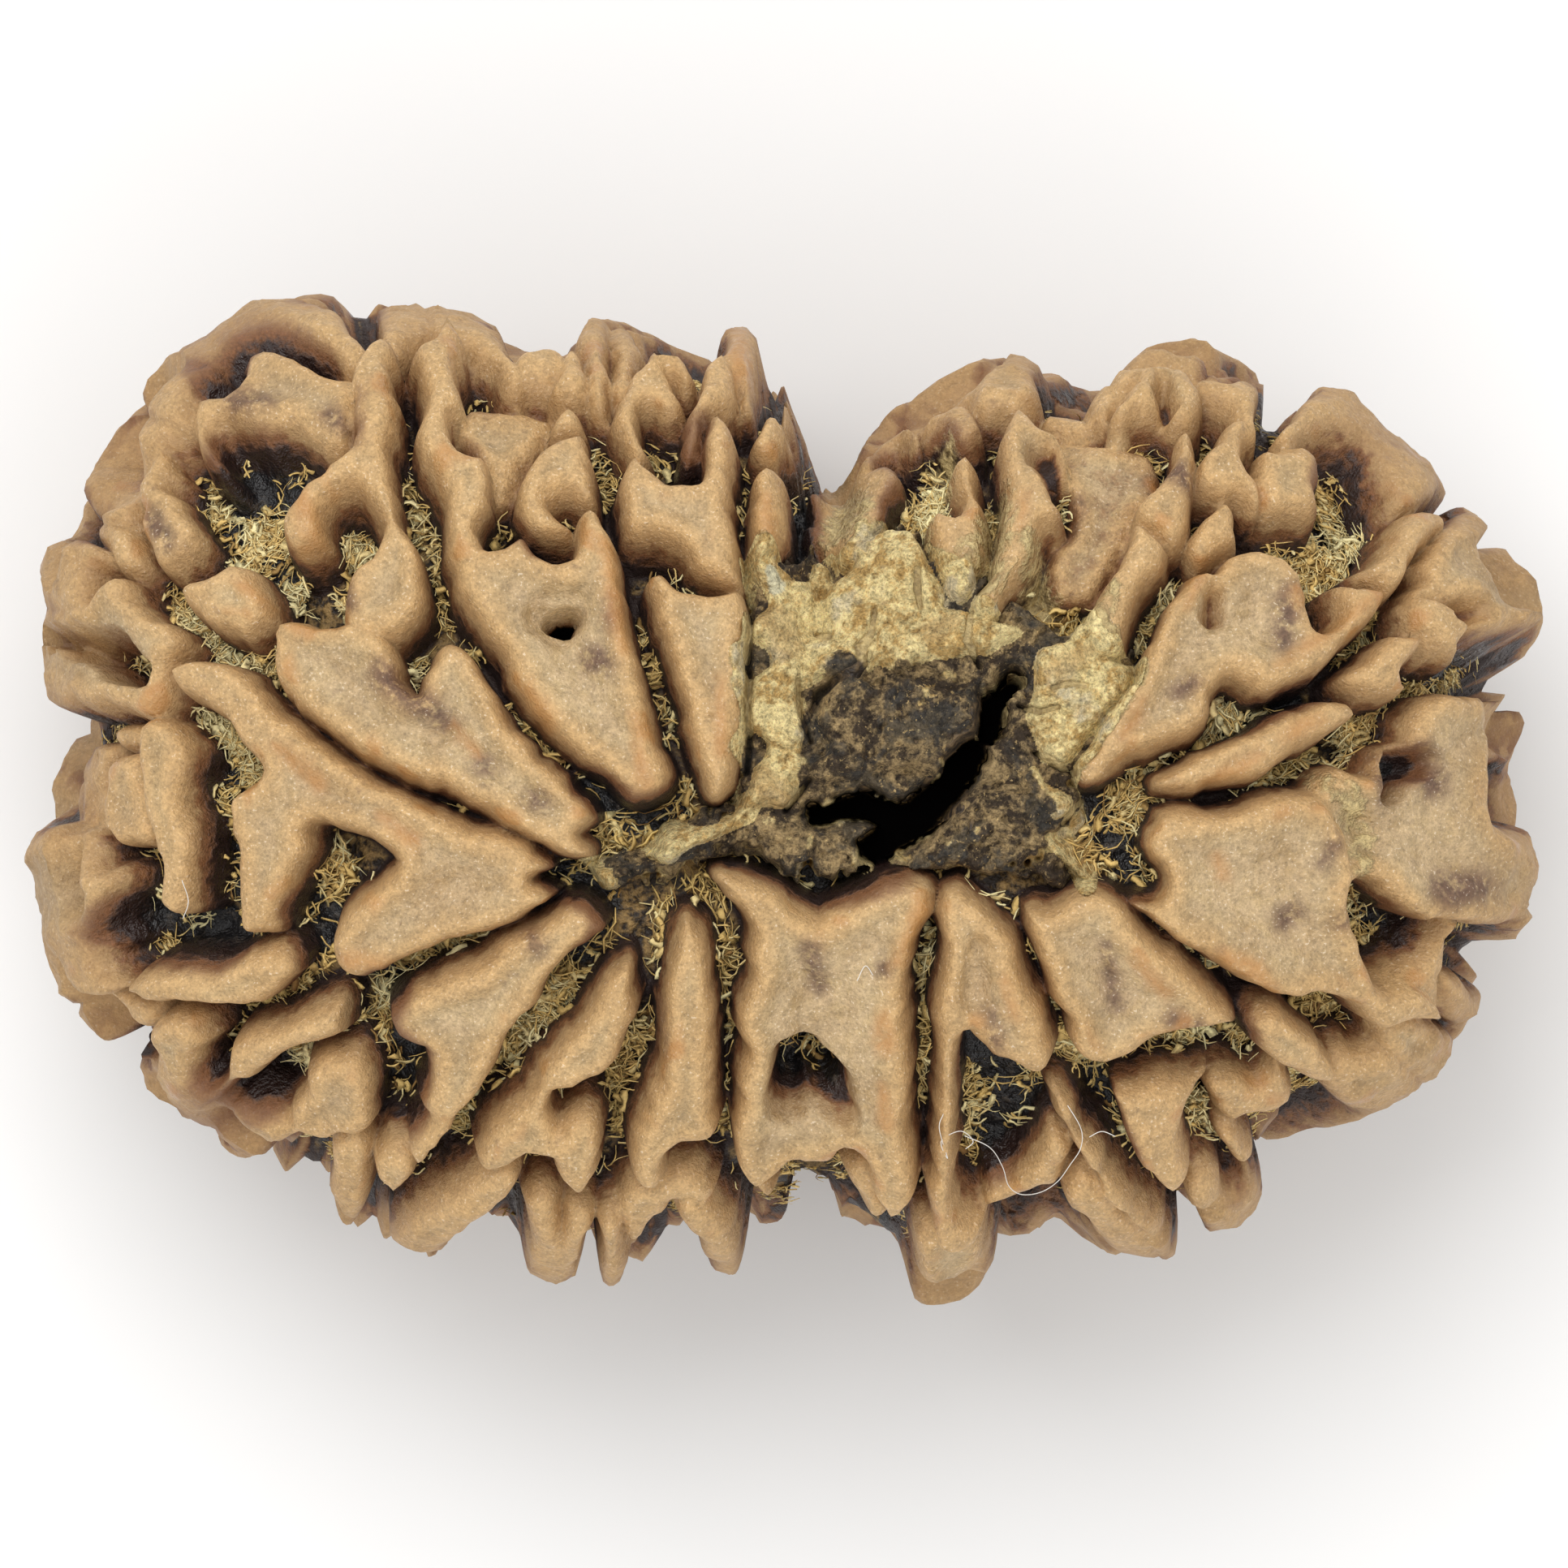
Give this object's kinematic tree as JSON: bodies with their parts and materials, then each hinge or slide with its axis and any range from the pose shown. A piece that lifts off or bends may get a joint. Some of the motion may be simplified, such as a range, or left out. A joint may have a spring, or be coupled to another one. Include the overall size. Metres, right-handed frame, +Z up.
{
  "type": "gauri shankar rudraksha",
  "caption": "Naturally joined rudraksha nuts, a stone-hard seed body with deep radiating ribs, lying with its stalk scar up.",
  "frame": {"origin": "centre of the bounding box's base, on the surface the nut lies on", "axes": "+X along both joined seeds towards the picture's right, +Y across them, +Z up through the stalk scar"},
  "size_m": [0.036, 0.024, 0.0195],
  "materials": {
    "nut_wood": "matte, worn to a low gloss on the crests"
  },
  "bodies": {
    "root": {"rudraksha_nut": "nut_wood"}
  },
  "joints": []
}
